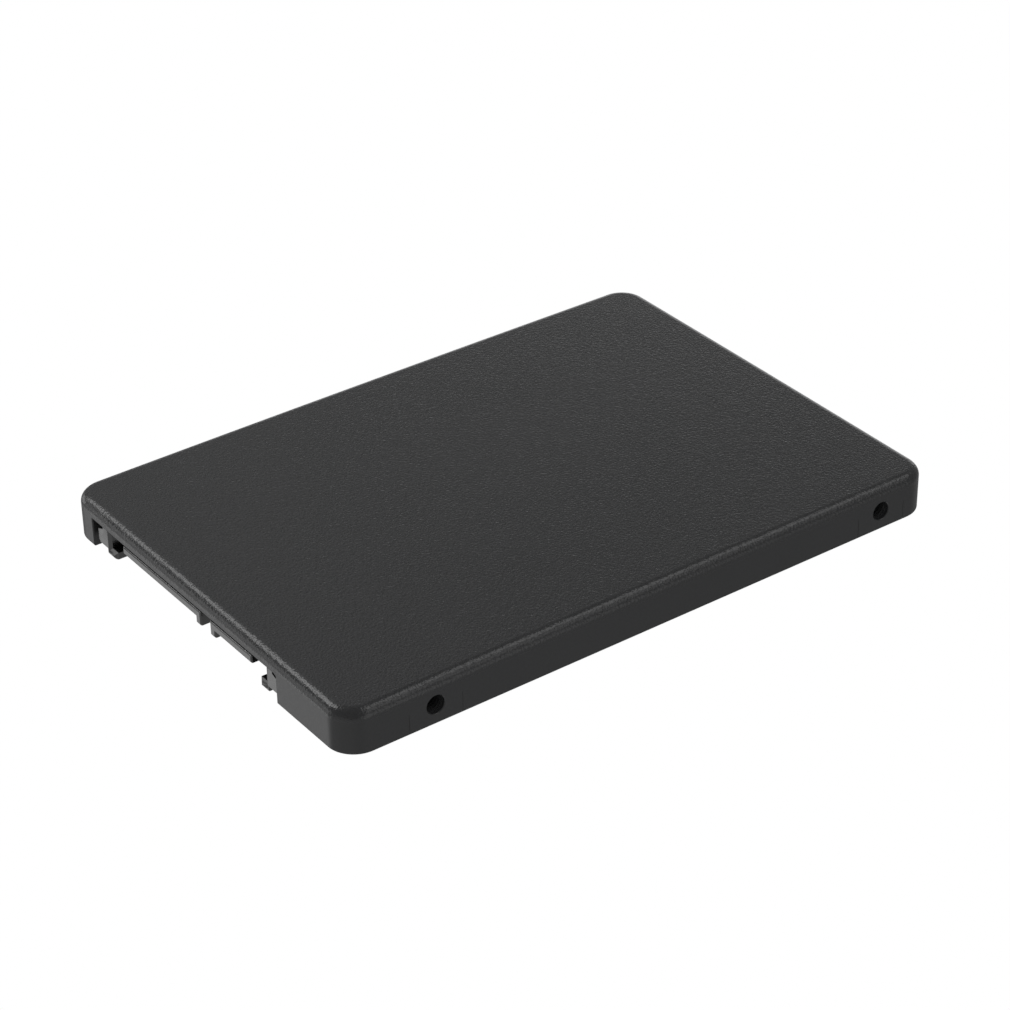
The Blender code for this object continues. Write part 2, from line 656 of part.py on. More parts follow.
def components():
    component("controller_chip", *CONTROLLER, CHIP_BLACK)
    component("memory_buffer_chip", *DRAM, CHIP_BLACK)
    component("power_regulator_chip", *REGULATOR, CHIP_BLACK)
    component("clock_crystal", *CRYSTAL, TINNED)
    thermal_pad("controller_thermal_pad", CONTROLLER)
    for i, place_on_board in enumerate(FLASH_PLACES):
        component(f"flash_chip_{i + 1}", place_on_board, FLASH_SIZE, CHIP_BLACK)
        component(f"flash_chip_{i + 3}", place_on_board, FLASH_SIZE, CHIP_BLACK, below=True)
        thermal_pad(f"flash_thermal_pad_{i + 1}", (place_on_board, FLASH_SIZE))
    for i, place_on_board in enumerate(INDUCTOR_PLACES):
        component(f"power_inductor_{i + 1}", place_on_board, INDUCTOR_SIZE, CHIP_BLACK)
    start = -CAPACITOR_SPACING * (CAPACITOR_COUNT - 1) / 2
    for i in range(CAPACITOR_COUNT):
        where = (start + i * CAPACITOR_SPACING, CAPACITOR_Y)
        component(f"capacitor_{i + 1}", where, CAPACITOR_SIZE, CAPACITOR_TAN)


def build():
    top_cover()
    bottom_cover()
    label()
    for number, (x, y) in enumerate(CASE_SCREWS, 1):
        case_screw(number, x, y)
    for number, (x, y) in enumerate(BOARD_SCREWS, 1):
        board_screw(number, x, y)
    circuit_board()
    components()
    connector_housing()
    contacts()
    for name, x in zip(("board_lock_left", "board_lock_right"), LOCK_X):
        board_lock(name, x)


build()
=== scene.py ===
"""The looks of a 2.5-inch solid state drive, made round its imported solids.

Lengths are in metres, written as millimetres times MM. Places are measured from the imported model's origin, or
come from its boxes.
"""

import json
import math

import bmesh
import bpy
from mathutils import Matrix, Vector


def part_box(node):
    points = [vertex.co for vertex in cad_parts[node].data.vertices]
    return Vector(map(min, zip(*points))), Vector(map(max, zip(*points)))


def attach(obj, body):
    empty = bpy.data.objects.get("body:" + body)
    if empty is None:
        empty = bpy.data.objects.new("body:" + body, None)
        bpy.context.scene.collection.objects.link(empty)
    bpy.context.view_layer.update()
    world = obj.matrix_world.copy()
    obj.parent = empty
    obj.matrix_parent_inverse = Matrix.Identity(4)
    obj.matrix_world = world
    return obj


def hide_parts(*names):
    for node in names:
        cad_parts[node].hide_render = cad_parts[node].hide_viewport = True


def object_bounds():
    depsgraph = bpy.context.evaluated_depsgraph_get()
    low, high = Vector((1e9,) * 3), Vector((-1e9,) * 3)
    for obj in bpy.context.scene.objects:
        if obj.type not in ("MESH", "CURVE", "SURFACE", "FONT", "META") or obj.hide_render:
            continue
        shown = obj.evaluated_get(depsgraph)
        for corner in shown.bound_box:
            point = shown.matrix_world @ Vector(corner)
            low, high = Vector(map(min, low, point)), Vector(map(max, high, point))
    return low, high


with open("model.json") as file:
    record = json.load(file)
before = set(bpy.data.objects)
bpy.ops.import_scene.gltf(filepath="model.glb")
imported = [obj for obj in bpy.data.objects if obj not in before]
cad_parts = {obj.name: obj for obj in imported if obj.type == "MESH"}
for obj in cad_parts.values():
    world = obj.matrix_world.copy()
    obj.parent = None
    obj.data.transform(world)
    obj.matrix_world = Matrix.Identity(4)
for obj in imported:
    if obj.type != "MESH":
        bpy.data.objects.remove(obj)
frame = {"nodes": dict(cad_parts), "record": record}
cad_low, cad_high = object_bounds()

MM = 0.001
WELD = 0.0005 * MM  # points nearer to each other than this are one point
scene = bpy.context.scene
nodes = frame["nodes"]


# ---------------------------------------------------------------- camera

CAMERA_AZIMUTH, CAMERA_ELEVATION, CAMERA_ROLL = (math.radians(a) for a in (54.2, 32.1, -0.87))
CAMERA_DISTANCE = 432.9 * MM
CAMERA_OFFSET = (0.437 * MM, 1.79 * MM)  # to the right and up, in the camera's own plane
CAMERA_LENS, CAMERA_SENSOR = 108.27, 36.0


def add_camera():
    """A long lens that looks down on the corner between the connector end and the right side."""
    level, raised = math.cos(CAMERA_ELEVATION), math.sin(CAMERA_ELEVATION)
    aside, ahead = math.sin(CAMERA_AZIMUTH), math.cos(CAMERA_AZIMUTH)
    back = Vector((aside * level, -ahead * level, raised))
    level_right = Vector((ahead, aside, 0))
    level_up = back.cross(level_right)
    turn, tilt = math.cos(CAMERA_ROLL), math.sin(CAMERA_ROLL)
    right = turn * level_right + tilt * level_up
    up = turn * level_up - tilt * level_right
    data = bpy.data.cameras.new("camera")
    data.lens, data.sensor_width = CAMERA_LENS, CAMERA_SENSOR
    data.clip_start, data.clip_end = 10 * MM, 20.0
    camera = bpy.data.objects.new("camera", data)
    scene.collection.objects.link(camera)
    middle = (cad_low + cad_high) / 2
    middle.z = cad_low.z
    across, along = CAMERA_OFFSET
    place = middle + CAMERA_DISTANCE * back + across * right + along * up
    for column, axis in enumerate((right, up, back, place)):
        for row in range(3):
            camera.matrix_world[row][column] = axis[row]
    scene.camera = camera


add_camera()


# ---------------------------------------------------------------- mesh tools


def new_piece(name, mesh):
    piece = bpy.data.objects.new(name, mesh)
    scene.collection.objects.link(piece)
    return piece


def loft(name, sections):
    """A closed mesh through sections of equally many points, with a flat cap at each end."""
    work = bmesh.new()
    rings = [[work.verts.new(point) for point in section] for section in sections]
    for ring, following in zip(rings, rings[1:]):
        count = len(ring)
        for i in range(count):
            j = (i + 1) % count
            work.faces.new((ring[i], ring[j], following[j], following[i]))
    work.faces.new(reversed(rings[0]))
    work.faces.new(rings[-1])
    bmesh.ops.recalc_face_normals(work, faces=work.faces)
    mesh = bpy.data.meshes.new(name)
    work.to_mesh(mesh)
    work.free()
    return new_piece(name, mesh)


def hull(name, points):
    """The convex solid round some points."""
    work = bmesh.new()
    for point in points:
        work.verts.new(point)
    bmesh.ops.convex_hull(work, input=work.verts)
    bmesh.ops.dissolve_limit(work, angle_limit=0.001, verts=work.verts, edges=work.edges)
    bmesh.ops.recalc_face_normals(work, faces=work.faces)
    mesh = bpy.data.meshes.new(name)
    work.to_mesh(mesh)
    work.free()
    return new_piece(name, mesh)


def arc(centre, radius, start, end, steps):
    """Points along an arc in a plane, with angles in degrees."""
    angles = [math.radians(start + (end - start) * i / steps) for i in range(steps + 1)]
    return [(centre[0] + radius * math.cos(a), centre[1] + radius * math.sin(a)) for a in angles]


def spread(low, high, parts):
    """The points between low and high that divide the run into equal parts, without its ends."""
    return [low + (high - low) * i / parts for i in range(1, parts)]


def rounded_outline(low, high, radius, steps, runs=(1, 1)):
    """A rectangle with round corners, anticlockwise from high x, low y; runs divides its sides."""
    (x0, y0), (x1, y1) = low, high
    left, right, front, back = x0 + radius, x1 - radius, y0 + radius, y1 - radius
    points = arc((right, front), radius, -90, 0, steps)
    points += [(x1, y) for y in spread(front, back, runs[1])]
    points += arc((right, back), radius, 0, 90, steps)
    points += [(x, y1) for x in spread(right, left, runs[0])]
    points += arc((left, back), radius, 90, 180, steps)
    points += [(x0, y) for y in spread(back, front, runs[1])]
    points += arc((left, front), radius, 180, 270, steps)
    points += [(x, y0) for x in spread(left, right, runs[0])]
    return points


def level(points, z):
    return [(x, y, z) for x, y in points]


def circle(centre, radius, along, sides):
    """A circle about a centre, square to the X or the Z axis."""
    points = []
    for i in range(sides):
        angle = 2 * math.pi * i / sides
        u, v = radius * math.cos(angle), radius * math.sin(angle)
        offset = {"X": (0, u, v), "Z": (u, v, 0)}[along]
        points.append(Vector(centre) + Vector(offset))
    return points


def turned(name, start, along, profile, sides):
    """A solid of circles: profile holds (distance along the X or Z axis from start, radius)."""
    axis = Vector({"X": (1, 0, 0), "Z": (0, 0, 1)}[along])
    sections = [circle(Vector(start) + axis * step, radius, along, sides) for step, radius in profile]
    return loft(name, sections)


def block(name, low, high):
    (x0, y0, z0), (x1, y1, z1) = low, high
    outline = ((x0, y0), (x1, y0), (x1, y1), (x0, y1))
    return loft(name, (level(outline, z0), level(outline, z1)))


def boolean(piece, operation, tools):
    """Cuts tools from a piece, or joins them to it, and removes them."""
    for tool in tools:
        step = piece.modifiers.new(tool.name, "BOOLEAN")
        step.operation = operation
        step.solver = "EXACT"
        step.object = tool
    settle(piece)
    for tool in tools:
        bpy.data.objects.remove(tool, do_unlink=True)
    return piece


def settle(piece):
    """Makes a piece's modifiers part of its mesh."""
    graph = bpy.context.evaluated_depsgraph_get()
    graph.update()
    mesh = bpy.data.meshes.new_from_object(piece.evaluated_get(graph))
    piece.modifiers.clear()
    piece.data = mesh


def clean(piece, sharp):
    """Welds what the cuts left, and shades smooth except along edges sharper than an angle in degrees."""
    work = bmesh.new()
    work.from_mesh(piece.data)
    bmesh.ops.remove_doubles(work, verts=work.verts, dist=WELD)
    bmesh.ops.dissolve_degenerate(work, edges=work.edges, dist=WELD)
    work.to_mesh(piece.data)
    work.free()
    piece.data.shade_smooth()
    piece.data.set_sharp_from_angle(angle=math.radians(sharp))
    normals = piece.modifiers.new("normals", "WEIGHTED_NORMAL")
    normals.keep_sharp = True


def finish_piece(piece, surface, stands_for):
    """Gives a new piece its material, and puts it in the place of the CAD node that it stands for."""
    piece.data.materials.clear()
    piece.data.materials.append(surface)
    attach(piece, "root")
    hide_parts(stands_for)


# ---------------------------------------------------------------- materials


class Surface:
    """A material under construction: a Principled shader and the nodes that feed it."""

    def __init__(self, name, **values):
        self.material = bpy.data.materials.new(name)
        self.material.use_nodes = True
        self.tree = self.material.node_tree
        self.shader = self.tree.nodes["Principled BSDF"]
        for socket, value in values.items():
            self.shader.inputs[socket.replace("_", " ").title()].default_value = value
        self.place = self.add("ShaderNodeTexCoord").outputs["Object"]

    def add(self, kind, **inputs):
        node = self.tree.nodes.new(kind)
        for socket, value in inputs.items():
            self.feed(node.inputs[socket.replace("_", " ").title()], value)
        return node

    def feed(self, socket, value):
        if isinstance(value, bpy.types.NodeSocket):
            self.tree.links.new(value, socket)
        else:
            socket.default_value = value

    def noise(self, size, detail=2.0, roughness=0.5):
        """Soft random values from 0 to 1, in patches of about the given size."""
        made = self.add("ShaderNodeTexNoise", vector=self.place, scale=1 / size, detail=detail)
        made.inputs["Roughness"].default_value = roughness
        return made.outputs["Fac"]

    def cells(self, size):
        """The distance to the second nearest of scattered points, which makes a net of the given size."""
        made = self.add("ShaderNodeTexVoronoi", vector=self.place, scale=1 / size)
        made.feature = "F2"
        return made.outputs["Distance"]

    def math(self, operation, first, second=0.0):
        node = self.tree.nodes.new("ShaderNodeMath")
        node.operation = operation
        self.feed(node.inputs[0], first)
        self.feed(node.inputs[1], second)
        return node.outputs[0]

    def remap(self, value, low, high, to_low=0.0, to_high=1.0, smooth=False):
        node = self.tree.nodes.new("ShaderNodeMapRange")
        node.interpolation_type = "SMOOTHSTEP" if smooth else "LINEAR"
        for socket, number in zip(node.inputs, (value, low, high, to_low, to_high)):
            self.feed(socket, number)
        return node.outputs["Result"]

    def vary(self, noise, middle, swing):
        """A value that wanders about a middle with a noise, by up to the swing over most of its range."""
        return self.remap(noise, 0.3, 0.7, middle - swing, middle + swing)

    def height(self):
        """How high a point is, in metres."""
        return self.add("ShaderNodeSeparateXYZ", vector=self.place).outputs["Z"]

    def blend(self, factor, first, second):
        """A colour between two colours. The numbers are a colour mix's own sockets."""
        node = self.tree.nodes.new("ShaderNodeMix")
        node.data_type = "RGBA"
        for index, value in ((0, factor), (6, first), (7, second)):
            self.feed(node.inputs[index], value)
        return node.outputs[2]

    def bump(self, height, depth):
        """Raises the surface by up to depth where height is 1."""
        node = self.add("ShaderNodeBump", height=height, distance=depth, strength=1.0)
        self.set("Normal", node.outputs["Normal"])

    def set(self, socket, value):
        self.feed(self.shader.inputs[socket], value)


def grey(value, tint=(1.0, 1.0, 1.0)):
    return (*(value * t for t in tint), 1.0)


CASE_GREY, CASE_TINT = 0.030, (0.985, 1.0, 1.035)
GRAIN_SIZE, GRAIN_DEPTH = 0.32 * MM, 0.06 * MM
GRAIN_FROM, GRAIN_FADE = cad_high.z - 2.1 * MM, 0.5 * MM  # the height where the grain starts, and its fade
PLAIN_GRAIN = 0.15  # the share of the grain that the plain finish keeps
PLAIN_ROUGHNESS, GRAIN_ROUGHNESS = 0.32, 0.22
CLOUD_SIZE, MOTTLE_SIZE = 9 * MM, 0.35 * MM


def case_plastic(name, grain_from):
    """Black plastic: an eroded grain above a height, and a plain satin finish below and on undersides."""
    made = Surface(name)
    above = made.remap(made.height(), grain_from, grain_from + GRAIN_FADE, smooth=True)
    normal = made.add("ShaderNodeNewGeometry").outputs["True Normal"]
    facing = made.add("ShaderNodeSeparateXYZ", vector=normal).outputs["Z"]
    looks_up_or_out = made.remap(facing, -0.5, -0.2)
    grained = made.math("MULTIPLY", above, looks_up_or_out)
    grain = made.noise(GRAIN_SIZE, 1.0)
    grain = made.math("MULTIPLY", grain, made.remap(grained, 0, 1, PLAIN_GRAIN, 1.0))
    clouds = made.noise(CLOUD_SIZE, 3.0)
    mottle = made.noise(MOTTLE_SIZE)
    shade = made.math("MULTIPLY", clouds, 0.3)
    shade = made.math("ADD", shade, made.math("MULTIPLY", mottle, 0.7))
    low, high = grey(CASE_GREY * 0.80, CASE_TINT), grey(CASE_GREY * 1.20, CASE_TINT)
    made.set("Base Color", made.blend(shade, low, high))
    roughness = made.remap(grained, 0, 1, PLAIN_ROUGHNESS, GRAIN_ROUGHNESS)
    made.set("Roughness", made.math("ADD", roughness, made.vary(mottle, 0.0, 0.03)))
    made.shader.inputs["IOR"].default_value = 1.49
    made.bump(grain, GRAIN_DEPTH)
    return made.material


def plug_plastic():
    """Smooth glass-filled black plastic with faint flow marks."""
    made = Surface("plug_plastic")
    flow = made.noise(0.6 * MM, 3.0)
    made.set("Base Color", made.blend(flow, grey(0.008), grey(0.014)))
    made.set("Roughness", made.vary(flow, 0.16, 0.04))
    made.shader.inputs["IOR"].default_value = 1.85
    made.bump(made.noise(0.3 * MM, 3.0, 0.6), 0.02 * MM)
    return made.material


def metal(name, colour, roughness):
    """Plated metal: its roughness and shade vary a little from place to place."""
    made = Surface(name, metallic=1.0)
    patches = made.noise(0.4 * MM, 4.0)
    dull = (*(c * 0.82 for c in colour), 1.0)
    made.set("Base Color", made.blend(patches, dull, (*colour, 1.0)))
    made.set("Roughness", made.vary(patches, roughness, 0.05))
    made.bump(made.noise(0.08 * MM), 0.001 * MM)
    return made.material


def moulded(name, low, high, roughness, grain=0.1 * MM, depth=0.004 * MM):
    """A moulded or pressed body between two colours, with a fine grain."""
    made = Surface(name)
    speckle = made.noise(grain, 3.0, 0.6)
    made.set("Base Color", made.blend(speckle, (*low, 1.0), (*high, 1.0)))
    made.set("Roughness", made.vary(speckle, roughness, 0.05))
    made.bump(speckle, depth)
    return made.material


def board_green():
    """Solder mask with the copper's routes showing faintly under it."""
    made = Surface("board_green")
    weave = made.noise(0.3 * MM)
    copper = made.remap(made.cells(1.6 * MM), 0.45, 0.55, smooth=True)
    mask = made.blend(copper, (0.004, 0.060, 0.026, 1.0), (0.010, 0.105, 0.048, 1.0))
    made.set("Base Color", mask)
    made.set("Roughness", made.vary(weave, 0.34, 0.06))
    made.bump(copper, 0.02 * MM)
    return made.material


BORDER_INSET, BORDER_WIDTH, BORDER_BLUR = 1.10 * MM, 0.28 * MM, 0.06 * MM


def label_stock():
    """Blank satin label stock with a thin printed border inside its edge."""
    made = Surface("label_vinyl")
    low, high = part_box("rating_label")
    parts = made.add("ShaderNodeSeparateXYZ", vector=made.place)
    middle, half = (low + high) / 2, (high - low) / 2
    edge = None
    for i, axis in enumerate("XY"):
        offset = made.math("SUBTRACT", parts.outputs[axis], middle[i])
        inside = made.math("SUBTRACT", half[i], made.math("ABSOLUTE", offset))
        edge = inside if edge is None else made.math("MINIMUM", edge, inside)
    starts = (BORDER_INSET, BORDER_INSET + BORDER_WIDTH)
    outer, inner = (made.remap(edge, start, start + BORDER_BLUR) for start in starts)
    border = made.math("SUBTRACT", outer, inner)
    fibre = made.noise(0.2 * MM, 3.0)
    stock = made.blend(fibre, grey(0.56), grey(0.64))
    made.set("Base Color", made.blend(border, stock, grey(0.12)))
    made.set("Roughness", made.vary(fibre, 0.47, 0.05))
    made.bump(fibre, 0.002 * MM)
    return made.material


CASE_GRAINED = case_plastic("case_plastic", GRAIN_FROM)
SURFACES = {
    "case_plastic": case_plastic("base_plastic", -5 * MM),  # grained all over but for its underside
    "plug_plastic": plug_plastic(),
    "contact_gold": metal("contact_gold", (0.83, 0.60, 0.25), 0.24),
    "tinned_steel": metal("tinned_steel", (0.60, 0.60, 0.58), 0.36),
    "screw_steel": metal("screw_steel", (0.075, 0.075, 0.078), 0.34),
    "chip_black": moulded("chip_black", (0.016, 0.016, 0.018), (0.028, 0.028, 0.031), 0.55),
    "capacitor_tan": moulded("capacitor_tan", (0.30, 0.19, 0.10), (0.40, 0.27, 0.15), 0.42),
    "thermal_pad": moulded(
        "thermal_pad", (0.24, 0.29, 0.35), (0.33, 0.39, 0.45), 0.85, 0.25 * MM, 0.02 * MM
    ),
    "board_green": board_green(),
    "label_vinyl": label_stock(),
}


# ---------------------------------------------------------------- top cover

CORNER_RADIUS, CORNER_STEPS = 4.2 * MM, 24
TOP_FILLET, FILLET_STEPS = 1.55 * MM, 14
COVER_SHARP = 32  # in degrees: sharper edges than this aren't shaded smooth
FOOT_ROUND = 0.25 * MM  # the rounding of the walls' lower edge
WALL, CEILING = 1.5 * MM, 5.8 * MM
RUNS = (12, 18)  # how many parts the straight sides have, for the crown to bend
CROWN = (0.10 * MM, 0.20 * MM)  # how far the top falls away towards its sides and its ends
CROWN_FROM = 3.0 * MM
PAST = 1.0 * MM  # how far a cutter runs past the surface it cuts

OPENING_X = (-28.85 * MM, 18.7 * MM)
OPENING_TOP = 4.5 * MM
OPENING_CORNER = (0.5 * MM, 0.25 * MM)  # width and drop of the bevel in its upper right corner
OPENING_ROUND = 0.22 * MM

MOUNT_Y = (cad_low.y + 14.0 * MM, cad_low.y + 90.6 * MM)
MOUNT_X = 61.72 / 2 * MM
SIDE_HOLE_HEIGHT, SIDE_HOLE_DEPTH = 3.0 * MM, 5.0 * MM
HOLE_RADIUS, HOLE_CHAMFER, HOLE_SIDES = 1.40 * MM, 0.10 * MM, 48
THREAD_DEPTH, THREAD_PITCH, THREAD_FROM = 0.16 * MM, 0.5 * MM, 2 * HOLE_CHAMFER + 0.3 * MM
BOTTOM_HOLE_TOP = 4.6 * MM
BLOCK_INSET, BLOCK_HALF = 8.4 * MM, 4.3 * MM
FLOOR = 1.2 * MM
SEAT_GAP = 0.1 * MM
BOSS_RADIUS, BOSS_SIDES = 2.2 * MM, 32
PILOT_RADIUS, PILOT_TOP, PILOT_SIDES = 0.9 * MM, 5.0 * MM, 24

WITNESS_HALF, WITNESS_TOP = 4.2 * MM, 3.2 * MM  # how far from a side hole its mould lines are, and their top
WITNESS_WIDTH, WITNESS_DEPTH = 0.07 * MM, 0.03 * MM


def side_face(side):
    """Where the right (1) or left (-1) wall's outer face is along X."""
    return cad_high.x if side > 0 else cad_low.x


def case_outline(inset):
    low, high = cad_low.xy + Vector((inset, inset)), cad_high.xy - Vector((inset, inset))
    return rounded_outline(low, high, CORNER_RADIUS - inset, CORNER_STEPS, RUNS)


def crown_drop(x, y):
    """How far below its centre the top is at a point."""
    across, along = x / cad_high.x, y / cad_high.y
    return CROWN[0] * across**2 + CROWN[1] * along**2


def case_shell():
    """The cover's outside: round foot, upright walls, round top edge and a slightly crowned top."""
    height = cad_high.z
    profile = [(FOOT_ROUND - x, FOOT_ROUND - z) for x, z in arc((0, 0), FOOT_ROUND, 90, 0, 4)]
    fillet = arc((TOP_FILLET, height - TOP_FILLET), TOP_FILLET, 180, 90, FILLET_STEPS)
    rings = [level(case_outline(inset), z) for inset, z in profile + fillet]
    shell = loft("top_shell", rings)
    work = bmesh.new()
    work.from_mesh(shell.data)
    for axis, parts in ((0, RUNS[0]), (1, RUNS[1])):  # the flat top is divided, for the crown to bend it
        first, last = cad_low[axis] + CORNER_RADIUS, cad_high[axis] - CORNER_RADIUS
        normal = Vector((1, 0, 0)) if axis == 0 else Vector((0, 1, 0))
        for place in (first, *spread(first, last, parts), last):
            top = [f for f in work.faces if f.calc_center_median().z > height - WELD]
            edges = {e for f in top for e in f.edges}
            verts = {v for f in top for v in f.verts}
            bmesh.ops.bisect_plane(
                work,
                geom=[*top, *edges, *verts],
                dist=WELD,
                plane_co=normal * place,
                plane_no=normal,
            )
    for vert in work.verts:
        share = max(0.0, (vert.co.z - CROWN_FROM) / (height - CROWN_FROM))
        vert.co.z -= crown_drop(vert.co.x, vert.co.y) * share
    work.to_mesh(shell.data)
    work.free()
    return shell


def opening_cutter():
    """The cutter for the connector's opening in the end wall. Its flared mouth rounds the outer rim."""
    bevel, drop = OPENING_CORNER
    sections = []
    rim = [(OPENING_ROUND - y, OPENING_ROUND - e) for y, e in arc((0, 0), OPENING_ROUND, 0, 90, 5)]
    for depth, widen in ((-PAST, OPENING_ROUND + PAST), *rim, (WALL + PAST, 0.0)):
        y = cad_low.y + depth
        left, right = OPENING_X[0] - widen, OPENING_X[1] + widen
        top = OPENING_TOP + widen
        corners = ((left, -PAST), (right, -PAST), (right, top - drop), (right - bevel, top), (left, top))
        sections.append([(x, y, z) for x, z in corners])
    return loft("opening", sections)


def thread_profile(depth):
    """A blind threaded hole from its mouth inwards: a chamfer, then one ridge for each turn."""
    root, crest = HOLE_RADIUS + THREAD_DEPTH / 2, HOLE_RADIUS - THREAD_DEPTH / 2
    profile = [(-PAST, HOLE_RADIUS + HOLE_CHAMFER), (0, HOLE_RADIUS + HOLE_CHAMFER)]
    profile.append((HOLE_CHAMFER, HOLE_RADIUS))
    step = THREAD_FROM
    while step + THREAD_PITCH < depth:
        profile += [(step, HOLE_RADIUS), (step + 0.3 * THREAD_PITCH, crest)]
        profile.append((step + 0.7 * THREAD_PITCH, root))
        step += THREAD_PITCH
    profile.append((depth, HOLE_RADIUS))
    return profile


def side_hole(side, y):
    """The cutter for one mounting hole in a long side."""
    profile = [(-side * step, radius) for step, radius in thread_profile(SIDE_HOLE_DEPTH)]
    return turned("side_hole", (side_face(side), y, SIDE_HOLE_HEIGHT), "X", profile, HOLE_SIDES)


def witness_marks(side, y):
    """Cutters for the thin upright lines that a mould's slide leaves, one each side of a side hole."""
    face = side_face(side)
    x0, x1 = sorted((face - side * WITNESS_DEPTH, face + side * PAST))
    half = WITNESS_WIDTH / 2
    made = []
    for way in (-1, 1):
        line = y + way * WITNESS_HALF
        made.append(block("witness", (x0, line - half, -PAST), (x1, line + half, WITNESS_TOP)))
    return made


def screw_centres(kind, count):
    """Where a kind's screws are, seen from above."""
    boxes = [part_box(f"{kind}_{i + 1}") for i in range(count)]
    return [((low + high) / 2).xy for low, high in boxes]


CASE_SCREWS = screw_centres("case_screw", 4)
BOARD_SCREWS = screw_centres("board_screw", 3)


def cavity_cutter():
    """The cutter for the room inside the walls and under the ceiling."""
    inner_low, inner_high = cad_low.xy + Vector((WALL, WALL)), cad_high.xy - Vector((WALL, WALL))
    outline = rounded_outline(inner_low, inner_high, CORNER_RADIUS - WALL, CORNER_STEPS)
    return loft("cavity", (level(outline, -PAST), level(outline, CEILING)))


def inner_posts():
    """The blocks round the mounting holes and the bosses for the screws, all hanging from the ceiling."""
    into_ceiling = (CEILING + cad_high.z) / 2
    posts = []
    for side in (-1, 1):
        x0, x1 = sorted((side_face(side) - side * WALL / 2, side_face(side) - side * BLOCK_INSET))
        for y in MOUNT_Y:
            low = (x0, y - BLOCK_HALF, FLOOR + SEAT_GAP)
            posts.append(block("mount_block", low, (x1, y + BLOCK_HALF, into_ceiling)))
    board_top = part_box("circuit_board")[1].z
    for centres, low in ((CASE_SCREWS, FLOOR + SEAT_GAP), (BOARD_SCREWS, board_top + SEAT_GAP)):
        for x, y in centres:
            profile = ((0, BOSS_RADIUS), (into_ceiling - low, BOSS_RADIUS))
            posts.append(turned("boss", (x, y, low), "Z", profile, BOSS_SIDES))
    return posts


def cover_cutters():
    """The cutters for the opening, the threaded holes, their mould lines and the screws' pilot holes."""
    cutters = [opening_cutter()]
    under = thread_profile(BOTTOM_HOLE_TOP - FLOOR)
    for side in (-1, 1):
        for y in MOUNT_Y:
            cutters.append(side_hole(side, y))
            mouth = (side * MOUNT_X, y, FLOOR + SEAT_GAP)
            cutters.append(turned("under_hole", mouth, "Z", under, HOLE_SIDES))
            cutters += witness_marks(side, y)
    pilot = ((0, PILOT_RADIUS), (PILOT_TOP, PILOT_RADIUS))
    for x, y in (*CASE_SCREWS, *BOARD_SCREWS):
        cutters.append(turned("pilot", (x, y, 0), "Z", pilot, PILOT_SIDES))
    return cutters


def top_cover():
    """The moulded tray that shows from above, with its opening, holes and inner posts."""
    cover = case_shell()
    boolean(cover, "DIFFERENCE", [cavity_cutter()])
    boolean(cover, "UNION", inner_posts())
    boolean(cover, "DIFFERENCE", cover_cutters())
    clean(cover, COVER_SHARP)
    finish_piece(cover, CASE_GRAINED, "top_cover")


top_cover()


# ---------------------------------------------------------------- connector housing

PLUG_LOW, PLUG_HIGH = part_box("connector_housing")
PLUG_CENTRE = (PLUG_LOW.x + PLUG_HIGH.x) / 2
PLUG_EDGE, PLUG_EDGE_ANGLE = 0.06 * MM, 15  # the rounding of every moulded edge sharper than this angle
PLUG_SHARP = 40  # in degrees, as COVER_SHARP is
BASE_DEPTH, BASE_BOTTOM = 2.2 * MM, 1.35 * MM
BASE_FRONT = PLUG_HIGH.y - BASE_DEPTH
INTO_BASE = 0.5 * MM

TONGUE_FRONT, TONGUE_ROUND = -49.45 * MM, 0.25 * MM
TONGUE_BOTTOM, TONGUE_TOP = 2.27 * MM, 3.50 * MM
TONGUE_MARGIN, KEY_WIDTH, KEY_BOTTOM = 0.35 * MM, 1.25 * MM, 1.25 * MM
CONTACT_COUNTS = {"power": 15, "signal": 7}
CONTACT_THICKNESS, CONTACT_FIT = 0.2 * MM, 0.05 * MM

ARM_FRONT = PLUG_LOW.y
ARM_OUTER, ARM_INNER = 23.3 * MM, 20.1 * MM  # from the plug's centre
WEB_BOTTOM, ARM_TOP = 1.05 * MM, 4.05 * MM
SHOULDER_WIDTH, SHOULDER_STEP, SHOULDER_DROP = 1.3 * MM, 0.32 * MM, 0.8 * MM
ARM_HEEL = 0.4 * MM
FOOT_OUTER, FOOT_INNER = 20.9 * MM, 18.6 * MM
FOOT_BOTTOM, FOOT_TOP, FOOT_BACK, FOOT_HEEL = 0.2 * MM, 1.3 * MM, -47.1 * MM, 0.15 * MM
LEAD_WIDTH, LEAD_DEPTH = 0.6 * MM, 0.38 * MM


def bevelled(piece):
    """Rounds every sharp outer edge of a piece of the plug."""
    work = bmesh.new()
    work.from_mesh(piece.data)
    limit = math.radians(PLUG_EDGE_ANGLE)
    edges = [e for e in work.edges if e.is_convex and e.calc_face_angle(0.0) > limit]
    bmesh.ops.bevel(
        work, geom=edges, offset=PLUG_EDGE, segments=3, profile=0.5, affect="EDGES", clamp_overlap=True
    )
    work.to_mesh(piece.data)
    work.free()
    return piece


def side_prism(name, outline, x_range):
    """A solid with a (y, z) outline between two places along X."""
    return loft(name, [[(x, y, z) for y, z in outline] for x in sorted(x_range)])


def front_prism(name, outline, y_range):
    """A solid with an (x, z) outline between two places along Y."""
    return loft(name, [[(x, y, z) for x, z in outline] for y in sorted(y_range)])


def contact_boxes(kind):
    return [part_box(f"{kind}_contact_{i + 1}") for i in range(CONTACT_COUNTS[kind])]


def contact_range(kind):
    """The run along X that a tongue's contacts take, with its plain margins."""
    boxes = contact_boxes(kind)
    low, high = min(box[0].x for box in boxes), max(box[1].x for box in boxes)
    return low - TONGUE_MARGIN, high + TONGUE_MARGIN


